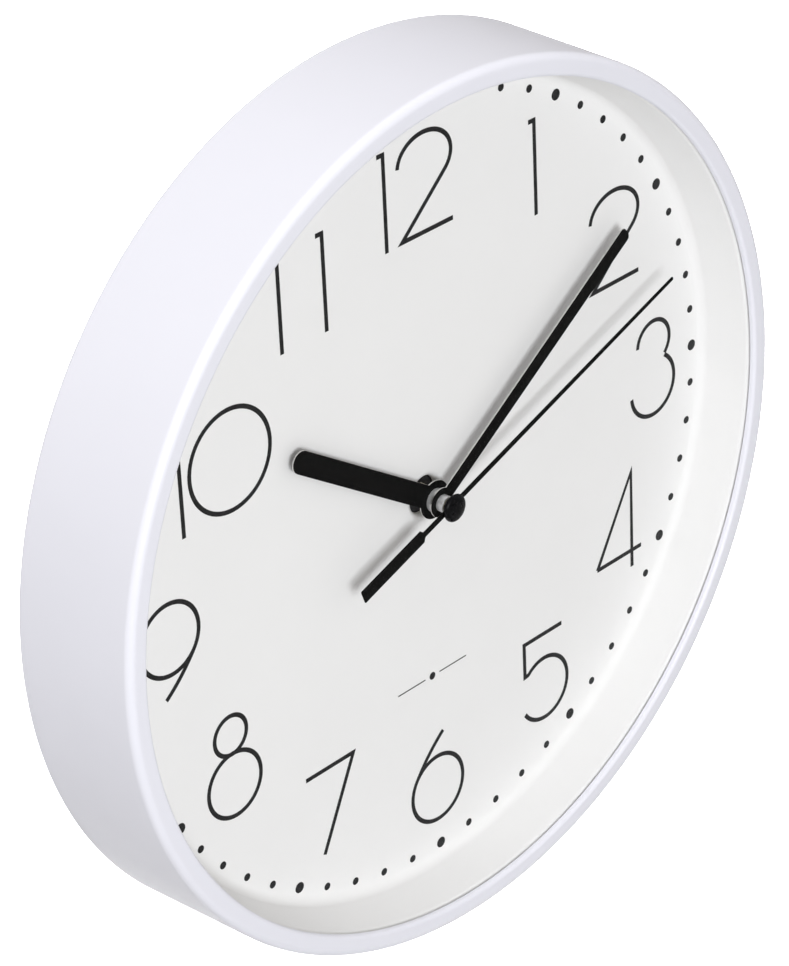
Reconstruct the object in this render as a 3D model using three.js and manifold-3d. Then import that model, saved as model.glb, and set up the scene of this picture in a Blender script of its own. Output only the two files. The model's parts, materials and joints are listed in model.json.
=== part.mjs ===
// A round quartz wall clock, 220 mm across, as an assembly of separate pieces.
// Millimetres. +Z is up, the dial faces -Y, and y = 0 is the wall. The origin is on the dial's axis, on
// the rear face of the movement's cover, which is flush with the case's rear rim.
import * as THREE from "three";
import { mergeVertices } from "three/addons/utils/BufferGeometryUtils.js";
import Module from "manifold-3d";

const wasm = await Module();
wasm.setup();

// ---- Driving dimensions ----

const GAP = 0.3; // clearance between pieces that meet
const TOUCH = 0.1; // clearance between pieces that turn together

// Case, lens and dial pan: radii about the dial's axis, and places along it.
const CASE_RADIUS = 110; // at the rear rim
const CASE_FRONT_RADIUS = 109.2;
const CASE_DEPTH = 34;
const CASE_WALL = 2.2;
const EDGE_ROUND = 2; // outer front edge
const LIP_ROUND = 0.9; // inner front edge
const LIP_RADIUS = 104.1; // clear opening inside the lip
const LIP_THICKNESS = 1.5;
const RIM_CHAMFER = 0.4;
const LENS_RADIUS = 106;
const LENS_THICKNESS = 1.4;
const LENS_FRONT_Y = -CASE_DEPTH + LIP_THICKNESS + GAP;
const DIAL_Y = -18.8; // front face of the dial
const DIAL_THICKNESS = 2.3;
const DIAL_RADIUS = 101.8;
const DIAL_FILLET = 2.5; // between the dial and its wall
const PAN_FRONT_RADIUS = 103.7;
const PAN_WALL = 1.8;
const PAN_DRAFT = 0.6; // how much the outside of the pan's wall closes in towards the rear
const PAN_SEAT = { radius: 106.7, thickness: 1.2 }; // front rim, which the lens rests on
const PAN_FLANGE = { radius: 106.8, rear: -12, thickness: 1.5 }; // rear rim, held by the case's snaps
const CENTRE_HOLE_RADIUS = 4.75;
const CENTRE_FLARE = 1.6; // rounding of the dial's centre hole
const SNAP = { count: 8, width: 10, height: 3.5, overlap: 0.5 };
const RIB = { count: 8, middle: 72, length: 52, height: 2.7, thickness: 1.2 };
const HOOK = { z: 12, width: 6, thickness: 1.8, rear: -7.6, tip: 0.7, tipHeight: 0.8, slope: 1.3 };
const ROUND = 72; // facets of the case, lens and pan

// Movement shell.
const SHELL = 56; // across its square body
const SHELL_CORNER = 4;
const SHELL_WALL = 1.4;
const SHELL_FRONT_Y = -16.2;
const FLOOR_Y = -15; // inner face of the front wall
const COVER_THICKNESS = 1.6;
const RIM_Y = -COVER_THICKNESS - GAP; // rear edge of the shell's walls
const SHELL_INNER = SHELL / 2 - SHELL_WALL;
const BAY_TOP_Z = -11.1;
const BAY_WALL = 1.2;
const BAY_OPENING = { halfWidth: 26, low: -26.2, high: BAY_TOP_Z - 0.2 }; // in the cover
const CONTACT_NOTCH = { depth: 0.9, floor: 1.5, margin: 1 };
const BOSS_RADIUS = 4.45;
const BOSS_HEIGHT = 0.5;
const BOSS_BORE = 2.8;
const EMBED = 0.2; // how far a rib, post or boss runs into the wall that it grows from
const BRIDGE_FRONT_Y = -4.6;
const BRIDGE_REAR_Y = -3.6;
const HANGER_TOP_Z = 44.5;
const HANGER_RADIUS = 8;
const HANGER_FOOT = 11; // half width where it meets the cover
const HANGER_THICKNESS = 2.6;
const KEYHOLE_Z = 34;
const KEYHOLE_RADIUS = 4.2;
const NAIL_SLOT = 1.9; // half width of the keyhole's neck
const NAIL_SLOT_HEIGHT = 6; // from the keyhole's centre to the centre of the neck's round end
const KNOB = { radius: 5, front: -2.2, rear: -0.4, shaft: 0.9, scallops: 12, scallop: 1.2 };
const KNOB_WELL = { radius: 5.6, floor: -2.5, wall: 1, shaftHole: 1.4 };

// Screws: head radius and height, shank radius and length.
const COVER_SCREW = { head: 1.9, height: 0.5, shank: 0.8, length: 7.5, hole: 1.1, post: 2, rear: -0.2 };
const STATOR_SCREW = { head: 1.5, height: 0.8, shank: 0.6, length: 4.6, hole: 0.9, post: 2, rear: -7.9 };
const CROSS_SLOT = { length: 0.65, width: 0.4, floor: 0.4 }; // length and floor are parts of the head

// Gear train. A module is a wheel's pitch diameter over its number of teeth.
const ADDENDUM = 0.75;
const DEDENDUM = 0.95;
const TOOTH_ROOT = 0.27; // half widths, as parts of one tooth's pitch
const TOOTH_TIP = 0.1;
const ARBOR = 0.4; // radius of an arbor
const PIVOT_HOLE = 0.5;
const PIVOT_FRONT_Y = -15.4;
const PIVOT_REAR_Y = -3.7;
const THIRD_DISTANCE = 9.5; // from the dial's axis
const THIRD_ANGLE = 75;
const INTERMEDIATE_DISTANCE = 9.9;
const INTERMEDIATE_ANGLE = 165;
const ROTOR_DISTANCE = 7; // from the intermediate wheel
const ROTOR_ANGLE = 125;
const SETTING_DISTANCE = 10;
const PINION = 6; // leaves of every pinion but the minute pinion
const MINUTE_PINION = 8;
const SECOND_TEETH = 30;
const THIRD_TEETH = 45;
const CENTRE_TEETH = 48;
const INTERMEDIATE_TEETH = 36;
const MINUTE_WORK_TEETH = 24;
const HOUR_TEETH = 24;

// Front and rear of each toothed disc, from the dial to the bridge.
const LAYER = {
  hour: [-14.7, -13.9],
  hourPinion: [-14.7, -13.4],
  minuteWork: [-13.5, -12.5],
  minutePinion: [-13.5, -12.4],
  centre: [-11.6, -10.8],
  centrePinion: [-11.8, -9.6],
  third: [-9.7, -8.9],
  thirdPinion: [-9.9, -8],
  second: [-8.1, -7.3],
  secondPinion: [-8.3, -6.5],
  intermediate: [-6.6, -5.9],
  rotorPinion: [-6.8, -5.7],
};
const CENTRE_HUB = { radius: 1.6, rear: -10.3 };
const CLUTCH = { front: -12.1, rear: -11.9, hub: 1.9, arms: 3, reach: 3.6, width: 1.2, pad: 1 };
const WORK_SOCKET = { radius: 0.9, rear: -12.2 }; // takes the knob's shaft
const ROTOR_HUB = { radius: 1, front: -12.6, rear: -8.8 };
const MAGNET = { outer: 2.8, inner: 1.2, front: -12.2, rear: -9.2 };
const STATOR = { front: -11.2, rear: -10.2, bore: 3.5 };

// Hands: clock angles in degrees, lengths from the axis, and heights in front of the dial.
const HOUR_ANGLE = 303.7;
const MINUTE_ANGLE = 57;
const SECOND_ANGLE = 71.2;
const HOUR_LENGTH = 53.5;
const HOUR_WIDTH = 5.6;
const HOUR_HUB = 4.8;
const HOUR_HEIGHT = 2.4;
const MINUTE_LENGTH = 80.7;
const MINUTE_ROOT_WIDTH = 3.6;
const MINUTE_TIP_WIDTH = 3.9;
const MINUTE_TIP_ROUND = 1.2;
const MINUTE_HUB = 3.65;
const MINUTE_HEIGHT = 4.6;
const HAND_THICKNESS = 0.4;
const SECOND_LENGTH = 85.4;
const SECOND_ROOT_WIDTH = 1.5;
const SECOND_TIP_WIDTH = 0.9;
const SECOND_HUB = 2.2;
const SECOND_HEIGHT = 7.85;
const SECOND_THICKNESS = 0.3;
const TAIL_START = 10;
const TAIL_LENGTH = 32.2;
const TAIL_WIDTH = 3.6;
const TAIL_SHOULDER = 0.8;
const CAP_RADIUS = 3.46;
const CAP_HEIGHT = 1.7;
const CAP_ROUND = 1;
const CAP_CROWN = 0.15; // how far the middle of the cap stands above its rounded edge

// Stacked tubes on the dial's axis: outer and inner radii, and how far each reaches in front of the dial.
const HOUR_TUBE = { outer: 2.5, inner: 1.85, reach: 4.2 };
const MINUTE_TUBE = { outer: 1.6, inner: 0.8, reach: 7 };
const SECOND_ARBOR = { outer: 0.5, reach: 8.1 };
const SECOND_SOCKET = { outer: 1.9, inner: 0.65 };
const HOUR_COLLET = { outer: 2.95, inner: 2.65 };
const MINUTE_COLLET = { outer: 2.1, inner: 1.75 };

// Battery, across the lower part of the movement.
const BATTERY_RADIUS = 7.1;
const BATTERY_LENGTH = 49.3;
const BATTERY_X = -24.5; // flat end
const BATTERY_Y = -7.6;
const BATTERY_Z = -18.8;
const TERMINAL = { radius: 2.7, height: 0.6, x: 25.1 };

// ---- Colours and finishes ----

function finish(color, roughness, metalness = 0) {
  return new THREE.MeshStandardMaterial({ color, roughness, metalness });
}

const WHITE_SATIN = () => finish(0xf1f1f7, 0.42);
const WHITE_MATT = () => finish(0xeeeeec, 0.6);
const BLACK_PLASTIC = () => finish(0x1b1b1d, 0.5);
const BLACK_LACQUER = () => finish(0x141414, 0.35);
const NATURAL_PLASTIC = () => finish(0xe6e2d6, 0.55);
const BRIGHT_METAL = () => finish(0xb9bcc0, 0.3, 1);
const BRASS = () => finish(0xc9a455, 0.3, 1);
const COPPER = () => finish(0xb06a3a, 0.4, 1);
const DARK_STEEL = () => finish(0x6f7378, 0.4, 1);
const CLEAR_GLASS = () =>
  new THREE.MeshStandardMaterial({ color: 0xf4f8f8, roughness: 0.05, transparent: true, opacity: 0.2 });

// ---- Solids: three.js geometry in, joined and cut with manifold-3d ----

function solid(geometry) {
  const bare = geometry.clone();
  bare.deleteAttribute("normal");
  bare.deleteAttribute("uv");
  const merged = mergeVertices(bare, 1e-4);
  return new wasm.Manifold(
    new wasm.Mesh({
      numProp: 3,
      vertProperties: merged.attributes.position.array,
      triVerts: new Uint32Array(merged.index.array),
    }),
  );
}

function join(...solids) {
  return solids.reduce((whole, next) => whole.add(next));
}

function cut(whole, ...tools) {
  return tools.reduce((left, tool) => left.subtract(tool), whole);
}

function geometryOf(made) {
  const mesh = made.getMesh();
  return new THREE.BufferGeometry()
    .setAttribute("position", new THREE.BufferAttribute(mesh.vertProperties, 3))
    .setIndex(new THREE.BufferAttribute(mesh.triVerts, 1));
}

// A body of revolution about the Y axis, from [radius, y] points: an outline that starts on the axis
// also ends there, and any other is closed.
function turned(outline, segments) {
  const points = outline.map(([radius, y]) => new THREE.Vector2(radius, y));
  if (THREE.ShapeUtils.isClockWise(points)) points.reverse();
  if (outline[0][0] > 0) points.push(points[0].clone());
  return solid(new THREE.LatheGeometry(points, segments));
}

// Points of a quarter round in an outline, from one angle to another, in degrees.
function arc(centreRadius, centreY, radius, from, to, steps) {
  return Array.from({ length: steps + 1 }, (_, i) => {
    const angle = THREE.MathUtils.degToRad(from + ((to - from) * i) / steps);
    return [centreRadius + radius * Math.cos(angle), centreY + radius * Math.sin(angle)];
  });
}

// A round rod along Y between two places, centred on x, z.
function rod(radius, front, rear, segments = 24, x = 0, z = 0) {
  const geometry = new THREE.CylinderGeometry(radius, radius, rear - front, segments);
  return solid(geometry.translate(x, (front + rear) / 2, z));
}

// A round cutting tool along Y, long enough to go through any piece.
function through(radius, segments, x = 0, z = 0) {
  return rod(radius, -2 * CASE_DEPTH, CASE_DEPTH, segments, x, z);
}

function tube(outer, inner, front, rear, segments = 32) {
  return cut(rod(outer, front, rear, segments), through(inner, segments));
}

// A block from its lowest to its highest corner.
function block(low, high) {
  const size = high.map((value, i) => value - low[i]);
  const centre = high.map((value, i) => (value + low[i]) / 2);
  return solid(new THREE.BoxGeometry(...size).translate(...centre));
}

// A flat shape, drawn in X and Z, made into a plate between two places along Y.
function plate(shape, front, rear, curveSegments = 6) {
  const geometry = new THREE.ExtrudeGeometry(shape, {
    depth: rear - front,
    bevelEnabled: false,
    curveSegments,
  });
  return solid(geometry.rotateX(Math.PI / 2).translate(0, rear, 0));
}

function polygon(points) {
  return new THREE.Shape(points.map(([x, z]) => new THREE.Vector2(x, z)));
}

function roundedSquare(size, corner) {
  const half = size / 2;
  const shape = new THREE.Shape();
  shape.moveTo(-half + corner, -half);
  shape.lineTo(half - corner, -half);
  shape.absarc(half - corner, -half + corner, corner, -Math.PI / 2, 0);
  shape.lineTo(half, half - corner);
  shape.absarc(half - corner, half - corner, corner, 0, Math.PI / 2);
  shape.lineTo(-half + corner, half);
  shape.absarc(-half + corner, half - corner, corner, Math.PI / 2, Math.PI);
  shape.lineTo(-half, -half + corner);
  shape.absarc(-half + corner, -half + corner, corner, Math.PI, 1.5 * Math.PI);
  return shape;
}

function polar(distance, degrees) {
  const angle = THREE.MathUtils.degToRad(degrees);
  return [distance * Math.cos(angle), distance * Math.sin(angle)];
}

// ---- Gears ----

// A toothed disc about the Y axis, with a tooth centred at the given angle.
function gear(teeth, module, toothAngle, [front, rear]) {
  const pitch = (2 * Math.PI) / teeth;
  const pitchRadius = (module * teeth) / 2;
  const root = pitchRadius - DEDENDUM * module;
  const tip = pitchRadius + ADDENDUM * module;
  const shape = new THREE.Shape();
  for (let i = 0; i < teeth; i++) {
    const middle = THREE.MathUtils.degToRad(toothAngle) + i * pitch;
    const corners = [
      [root, -TOOTH_ROOT],
      [tip, -TOOTH_TIP],
      [tip, TOOTH_TIP],
      [root, TOOTH_ROOT],
    ];
    corners.forEach(([radius, side], k) => {
      const angle = middle + side * pitch;
      const x = radius * Math.cos(angle);
      const z = radius * Math.sin(angle);
      if (i === 0 && k === 0) shape.moveTo(x, z);
      else shape.lineTo(x, z);
    });
  }
  return plate(shape, front, rear);
}

// The module that makes two meshed gears fill the distance between their axes.
function moduleFor(distance, teethA, teethB) {
  return (2 * distance) / (teethA + teethB);
}

// The angle of a tooth that leaves a gap facing the given direction.
function gapAngle(direction, teeth) {
  return direction + 180 / teeth;
}

const [thirdX, thirdZ] = polar(THIRD_DISTANCE, THIRD_ANGLE);
const [intermediateX, intermediateZ] = polar(INTERMEDIATE_DISTANCE, INTERMEDIATE_ANGLE);
const [rotorStepX, rotorStepZ] = polar(ROTOR_DISTANCE, ROTOR_ANGLE);
const rotorX = intermediateX + rotorStepX;
const rotorZ = intermediateZ + rotorStepZ;
const secondToThird = moduleFor(THIRD_DISTANCE, PINION, THIRD_TEETH);
const thirdToCentre = moduleFor(THIRD_DISTANCE, PINION, CENTRE_TEETH);
const intermediateToSecond = moduleFor(INTERMEDIATE_DISTANCE, PINION, SECOND_TEETH);
const rotorToIntermediate = moduleFor(ROTOR_DISTANCE, PINION, INTERMEDIATE_TEETH);
const minuteToWork = moduleFor(SETTING_DISTANCE, MINUTE_PINION, MINUTE_WORK_TEETH);
const workToHour = moduleFor(SETTING_DISTANCE, PINION, HOUR_TEETH);

function secondWheel() {
  return join(
    gear(SECOND_TEETH, intermediateToSecond, gapAngle(INTERMEDIATE_ANGLE, SECOND_TEETH), LAYER.second),
    gear(PINION, secondToThird, THIRD_ANGLE, LAYER.thirdPinion),
    rod(SECOND_ARBOR.outer, DIAL_Y - SECOND_ARBOR.reach, LAYER.second[1] - 0.1, 16),
    rod(ARBOR, LAYER.second[1] - EMBED, PIVOT_REAR_Y, 12),
  );
}

function thirdWheel() {
  return join(
    gear(THIRD_TEETH, secondToThird, gapAngle(THIRD_ANGLE + 180, THIRD_TEETH), LAYER.third),
    gear(PINION, thirdToCentre, THIRD_ANGLE + 180, LAYER.centrePinion),
    rod(ARBOR, PIVOT_FRONT_Y, PIVOT_REAR_Y, 12),
  );
}

function centreWheel() {
  const disc = gear(CENTRE_TEETH, thirdToCentre, gapAngle(THIRD_ANGLE, CENTRE_TEETH), LAYER.centre);
  const hub = rod(CENTRE_HUB.radius, LAYER.centre[1] - EMBED, CENTRE_HUB.rear);
  return cut(join(disc, hub), through(MINUTE_TUBE.inner, 16));
}

// A three-armed spring washer that presses the centre wheel against the minute pipe.
function clutchSpring() {
  const { front, rear, reach, width } = CLUTCH;
  const arms = Array.from({ length: CLUTCH.arms }, (_, i) => {
    const degrees = (i * 360) / CLUTCH.arms;
    const [x, z] = polar(reach, degrees);
    const arm = new THREE.BoxGeometry(reach, rear - front, width).translate(reach / 2, (front + rear) / 2, 0);
    arm.rotateY(THREE.MathUtils.degToRad(-degrees));
    return join(solid(arm), rod(CLUTCH.pad, front, rear, 12, x, z));
  });
  return cut(join(rod(CLUTCH.hub, front, rear), ...arms), through(MINUTE_TUBE.inner, 16));
}

function minutePipe() {
  return cut(
    join(
      gear(MINUTE_PINION, minuteToWork, 0, LAYER.minutePinion),
      rod(MINUTE_TUBE.outer, DIAL_Y - MINUTE_TUBE.reach, LAYER.minutePinion[1] - 0.1, 32),
    ),
    through(MINUTE_TUBE.inner, 16),
  );
}

function minuteWorkWheel() {
  return join(
    gear(MINUTE_WORK_TEETH, minuteToWork, gapAngle(180, MINUTE_WORK_TEETH), LAYER.minuteWork),
    gear(PINION, workToHour, 180, LAYER.hourPinion),
    rod(ARBOR, PIVOT_FRONT_Y, LAYER.hourPinion[0] + 0.1, 12),
    rod(WORK_SOCKET.radius, LAYER.minuteWork[1] - 0.1, WORK_SOCKET.rear, 16),
  );
}

function hourWheel() {
  return cut(
    join(
      gear(HOUR_TEETH, workToHour, gapAngle(0, HOUR_TEETH), LAYER.hour),
      rod(HOUR_TUBE.outer, DIAL_Y - HOUR_TUBE.reach, LAYER.hour[0] + 0.1, 32),
    ),
    through(HOUR_TUBE.inner, 24),
  );
}

function intermediateWheel() {
  const toothAngle = gapAngle(ROTOR_ANGLE, INTERMEDIATE_TEETH);
  return join(
    gear(INTERMEDIATE_TEETH, rotorToIntermediate, toothAngle, LAYER.intermediate),
    gear(PINION, intermediateToSecond, INTERMEDIATE_ANGLE + 180, LAYER.secondPinion),
    rod(ARBOR, PIVOT_FRONT_Y, PIVOT_REAR_Y, 12),
  );
}

function rotorShaft() {
  return join(
    gear(PINION, rotorToIntermediate, ROTOR_ANGLE + 180, LAYER.rotorPinion),
    rod(ROTOR_HUB.radius, ROTOR_HUB.front, ROTOR_HUB.rear, 16),
    rod(ARBOR, PIVOT_FRONT_Y, PIVOT_REAR_Y, 12),
  );
}

// The knob has a scalloped edge for a fingertip, and a shaft that reaches the minute-work wheel.
function settingKnob() {
  const scallops = Array.from({ length: KNOB.scallops }, (_, i) => {
    const [x, z] = polar(KNOB.radius + KNOB.scallop - GAP, (i * 360) / KNOB.scallops);
    return through(KNOB.scallop, 12, x, z);
  });
  const disc = cut(rod(KNOB.radius, KNOB.front, KNOB.rear, 48), ...scallops);
  return join(disc, rod(KNOB.shaft, WORK_SOCKET.rear + GAP, KNOB.front + EMBED, 16));
}

// ---- Case ----

function caseRing() {
  const front = -CASE_DEPTH;
  const innerFront = CASE_FRONT_RADIUS - EDGE_ROUND;
  const seatY = front + LIP_THICKNESS;
  const outline = [
    [CASE_RADIUS - RIM_CHAMFER, 0],
    [CASE_RADIUS, -RIM_CHAMFER],
    ...arc(innerFront, front + EDGE_ROUND, EDGE_ROUND, 0, -90, 4),
    ...arc(LIP_RADIUS + LIP_ROUND, front + LIP_ROUND, LIP_ROUND, -90, -180, 3),
    [LIP_RADIUS, seatY],
    [CASE_FRONT_RADIUS - CASE_WALL, seatY],
    [CASE_RADIUS - CASE_WALL, -RIM_CHAMFER],
    [CASE_RADIUS - CASE_WALL + RIM_CHAMFER, 0],
  ];
  const ring = turned(outline, ROUND);
  const inWall = CASE_RADIUS - CASE_WALL + SNAP.overlap;
  const wedge = polygon([
    [PAN_FLANGE.radius - SNAP.overlap, PAN_FLANGE.rear + GAP],
    [inWall, PAN_FLANGE.rear + GAP],
    [inWall, PAN_FLANGE.rear + SNAP.height],
  ]);
  const snaps = Array.from({ length: SNAP.count }, (_, i) => {
    const geometry = new THREE.ExtrudeGeometry(wedge, { depth: SNAP.width, bevelEnabled: false });
    geometry.translate(0, 0, -SNAP.width / 2).rotateY(((i + 0.5) * 2 * Math.PI) / SNAP.count);
    return solid(geometry);
  });
  return join(ring, ...snaps);
}

function lens() {
  return rod(LENS_RADIUS, LENS_FRONT_Y, LENS_FRONT_Y + LENS_THICKNESS, ROUND);
}

// Two hooks on each side of the movement hold it against the back of the dial.
function movementHook(side, z) {
  const face = SHELL / 2 + GAP;
  const reach = (x) => side * (face + x);
  const root = DIAL_Y + DIAL_THICKNESS - EMBED;
  const tipRear = HOOK.rear - HOOK.slope;
  const tipFront = tipRear - HOOK.tipHeight;
  const points = [
    [reach(0), root],
    [reach(HOOK.thickness), root],
    [reach(HOOK.thickness), HOOK.rear],
    [reach(HOOK.slope - HOOK.tip), HOOK.rear],
    [reach(-HOOK.tip), tipRear],
    [reach(-HOOK.tip), tipFront],
    [reach(0), tipFront],
  ];
  const geometry = new THREE.ExtrudeGeometry(polygon(points), { depth: HOOK.width, bevelEnabled: false });
  return solid(geometry.translate(0, 0, z - HOOK.width / 2));
}

function dialPan() {
  const back = DIAL_Y + DIAL_THICKNESS;
  const front = LENS_FRONT_Y + LENS_THICKNESS + GAP;
  const wallRadius = PAN_FRONT_RADIUS + PAN_WALL;
  const flareRadius = CENTRE_HOLE_RADIUS + CENTRE_FLARE;
  const outline = [
    [CENTRE_HOLE_RADIUS, back],
    [DIAL_RADIUS + 0.2, back],
    [DIAL_RADIUS + 0.8, PAN_FLANGE.rear],
    [PAN_FLANGE.radius, PAN_FLANGE.rear],
    [PAN_FLANGE.radius, PAN_FLANGE.rear - PAN_FLANGE.thickness],
    [wallRadius - PAN_DRAFT, PAN_FLANGE.rear - PAN_FLANGE.thickness],
    [wallRadius, front + PAN_SEAT.thickness],
    [PAN_SEAT.radius, front + PAN_SEAT.thickness],
    [PAN_SEAT.radius, front],
    [PAN_FRONT_RADIUS, front],
    ...arc(DIAL_RADIUS - DIAL_FILLET, DIAL_Y - DIAL_FILLET, DIAL_FILLET, 0, 90, 4),
    ...arc(flareRadius, DIAL_Y + CENTRE_FLARE, CENTRE_FLARE, -90, -180, 3),
  ];
  const dish = turned(outline, ROUND);
  const ribs = Array.from({ length: RIB.count }, (_, i) => {
    const rib = new THREE.BoxGeometry(RIB.length, RIB.height, RIB.thickness);
    rib.translate(RIB.middle, back + RIB.height / 2 - EMBED, 0);
    return solid(rib.rotateY(((i + 0.5) * 2 * Math.PI) / RIB.count));
  });
  const hooks = [-1, 1].flatMap((side) => [-HOOK.z, HOOK.z].map((z) => movementHook(side, z)));
  return join(dish, ...ribs, ...hooks);
}

// ---- Movement shell ----

const COVER_SCREWS = [
  [-24.4, 24.4],
  [24.4, 24.4],
  [-23.7, -7],
  [23.7, -7],
];
const STATOR_SCREWS = [
  [-19.5, 22.4],
  [14.5, 22.4],
];
const BRIDGE_POSTS = [
  [-13.5, -6.5],
  [18, 7.8],
  [18.5, -7],
];
const BRIDGE_POST = { radius: 1.4, peg: 0.7, pegHeight: 1.9 };
const BRIDGE = { left: -20.5, right: 20.5, low: -9.3, high: 14.5 };

function movementCase() {
  const inner = SHELL - 2 * SHELL_WALL;
  const shell = cut(
    plate(roundedSquare(SHELL, SHELL_CORNER), SHELL_FRONT_Y, RIM_Y),
    plate(roundedSquare(inner, SHELL_CORNER - SHELL_WALL), FLOOR_Y, 0),
  );
  const half = SHELL_INNER + EMBED;
  const foot = FLOOR_Y - EMBED;
  const bayWall = block([-half, foot, BAY_TOP_Z], [half, RIM_Y, BAY_TOP_Z + BAY_WALL]);
  const pegRear = BRIDGE_REAR_Y + GAP;
  const posts = [
    ...COVER_SCREWS.map(([x, z]) => rod(COVER_SCREW.post, foot, RIM_Y, 16, x, z)),
    ...STATOR_SCREWS.map(([x, z]) => rod(STATOR_SCREW.post, foot, STATOR.front - GAP, 16, x, z)),
    ...BRIDGE_POSTS.map(([x, z]) => rod(BRIDGE_POST.radius, foot, BRIDGE_FRONT_Y - GAP, 12, x, z)),
    ...BRIDGE_POSTS.map(([x, z]) => rod(BRIDGE_POST.peg, pegRear - BRIDGE_POST.pegHeight, pegRear, 10, x, z)),
  ];
  const boss = rod(BOSS_RADIUS, SHELL_FRONT_Y - BOSS_HEIGHT, SHELL_FRONT_Y + EMBED, 48);
  const pivots = [
    [thirdX, thirdZ],
    [intermediateX, intermediateZ],
    [rotorX, rotorZ],
    [SETTING_DISTANCE, 0],
  ];
  const contactNotches = [-1, 1].map((side) => {
    const edge = side * SHELL_INNER;
    const inside = edge - side * CONTACT_NOTCH.depth;
    return block(
      [Math.min(edge, inside), FLOOR_Y + CONTACT_NOTCH.floor, BAY_TOP_Z - CONTACT_NOTCH.margin],
      [Math.max(edge, inside), 0, BAY_TOP_Z + BAY_WALL + CONTACT_NOTCH.margin],
    );
  });
  const notchDepth = HOOK.tip + EMBED;
  const notchHalf = HOOK.width / 2 + GAP;
  const notchFront = HOOK.rear - HOOK.slope - HOOK.tipHeight - GAP;
  const hookNotches = [-1, 1].flatMap((side) =>
    [-HOOK.z, HOOK.z].map((z) => {
      const x = (side * SHELL) / 2;
      return block(
        [x - notchDepth, notchFront, z - notchHalf],
        [x + notchDepth, HOOK.rear + GAP, z + notchHalf],
      );
    }),
  );
  return cut(
    join(shell, bayWall, ...posts, boss),
    through(BOSS_BORE, 32),
    ...COVER_SCREWS.map(([x, z]) => rod(COVER_SCREW.hole, -9.5, 0, 10, x, z)),
    ...STATOR_SCREWS.map(([x, z]) => rod(STATOR_SCREW.hole, -14, STATOR.front, 10, x, z)),
    ...pivots.map(([x, z]) => rod(PIVOT_HOLE, PIVOT_FRONT_Y - EMBED, FLOOR_Y + 0.5, 12, x, z)),
    ...contactNotches,
    ...hookNotches,
  );
}

// An arched plate with a keyhole, which hooks over a nail or screw head. It thickens above the shell.
function hangerArch(halfWidth, low) {
  const shape = new THREE.Shape();
  shape.moveTo(-halfWidth, low);
  shape.lineTo(halfWidth, low);
  shape.lineTo(HANGER_RADIUS, HANGER_TOP_Z - HANGER_RADIUS);
  shape.absarc(0, HANGER_TOP_Z - HANGER_RADIUS, HANGER_RADIUS, 0, Math.PI);
  shape.closePath();
  return shape;
}

function hanger() {
  const body = join(
    plate(hangerArch(HANGER_FOOT, SHELL / 2 - 1), -COVER_THICKNESS, 0, 10),
    plate(hangerArch(HANGER_FOOT - 0.4, SHELL / 2 + GAP), -HANGER_THICKNESS, 0, 10),
  );
  const neckTop = KEYHOLE_Z + NAIL_SLOT_HEIGHT;
  return cut(
    body,
    through(KEYHOLE_RADIUS, 24, 0, KEYHOLE_Z),
    block([-NAIL_SLOT, -CASE_DEPTH, KEYHOLE_Z], [NAIL_SLOT, 1, neckTop]),
    through(NAIL_SLOT, 16, 0, neckTop),
  );
}

function movementCover() {
  const sheet = plate(roundedSquare(SHELL, SHELL_CORNER), -COVER_THICKNESS, 0);
  const { radius, floor, wall, shaftHole } = KNOB_WELL;
  const { halfWidth, low, high } = BAY_OPENING;
  const well = rod(radius + wall, floor - 0.8, -1, 40, SETTING_DISTANCE, 0);
  const headHole = COVER_SCREW.head + GAP;
  const headFloor = COVER_SCREW.rear - COVER_SCREW.height - GAP;
  return cut(
    join(sheet, well, hanger()),
    block([-halfWidth, -CASE_DEPTH, low], [halfWidth, 1, high]),
    rod(radius, floor, 1, 40, SETTING_DISTANCE, 0),
    through(shaftHole, 16, SETTING_DISTANCE, 0),
    ...COVER_SCREWS.map(([x, z]) => rod(headHole, headFloor, 1, 16, x, z)),
    ...COVER_SCREWS.map(([x, z]) => rod(COVER_SCREW.hole, -3, 0, 10, x, z)),
  );
}

function trainBridge() {
  const low = [BRIDGE.left, BRIDGE_FRONT_Y, BRIDGE.low];
  const high = [BRIDGE.right, BRIDGE_REAR_Y, BRIDGE.high];
  const pivots = [
    [0, 0],
    [thirdX, thirdZ],
    [intermediateX, intermediateZ],
    [rotorX, rotorZ],
  ];
  return cut(
    block(low, high),
    ...pivots.map(([x, z]) => through(PIVOT_HOLE, 12, x, z)),
    ...BRIDGE_POSTS.map(([x, z]) => through(BRIDGE_POST.peg + 0.2, 12, x, z)),
    through(KNOB.shaft + 0.4, 12, SETTING_DISTANCE, 0),
  );
}

// A cross-slotted screw along Y, its head to the rear.
function screw({ head, height, shank, length }) {
  const reach = head * CROSS_SLOT.length;
  const half = CROSS_SLOT.width / 2;
  const floor = height * CROSS_SLOT.floor;
  const slots = [
    block([-reach, floor, -half], [reach, height + 1, half]),
    block([-half, floor, -reach], [half, height + 1, reach]),
  ];
  return join(cut(rod(head, 0, height, 16), ...slots), rod(shank, -length, 0.1, 10));
}

// ---- Stepping motor and electronics ----

const BOARD = { left: -25.6, right: -16.8, low: -4.5, high: 15, front: -13.6, rear: -12.6 };
const CHIP = { x: -21, z: 1, radius: 2.4, height: 1.2 };
const CRYSTAL = { x: -24.3, y: -11.3, z: 6, radius: 1, length: 6 };
const CONTACT = { x: 26, thickness: 0.3, front: -13, rear: -2.5, low: -24.5, top: -5 };
const CONTACT_STRIP = { z: -9.3, left: -17.6, front: -14.6, top: -2 };
const CONTACT_SPRING = { base: 3.6, tip: 2.4, length: 1.3 };

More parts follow.
